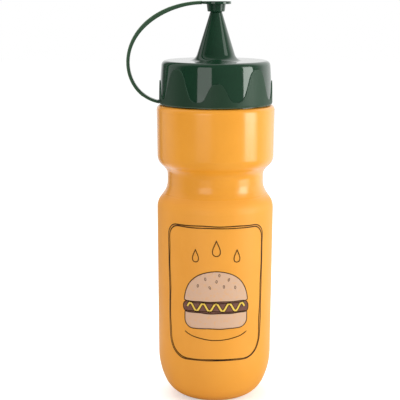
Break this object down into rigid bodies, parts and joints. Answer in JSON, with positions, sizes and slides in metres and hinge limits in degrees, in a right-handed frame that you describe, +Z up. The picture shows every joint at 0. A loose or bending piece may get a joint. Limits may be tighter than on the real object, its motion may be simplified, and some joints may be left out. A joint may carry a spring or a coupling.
{
  "type": "condiment squeeze bottle",
  "caption": "Tall round plastic squeeze bottle with a pinched waist, and a screw closure carrying a cone nozzle and a tethered stopper.",
  "frame": {"origin": "centre of the ring that the bottle stands on, on the axis of the bottle, in the plane of the table", "axes": "+Z up along the bottle's axis, +X to the right when the print faces the viewer, so the tether strap bends over towards -X, and the print faces -Y"},
  "size_m": [0.0853, 0.068, 0.2314],
  "materials": {
    "bottle": "satin warm yellow polyethylene",
    "closure": "glossy dark green, with a satin grip band"
  },
  "bodies": {
    "root": {"bottle": "bottle", "closure": "closure"}
  },
  "joints": []
}
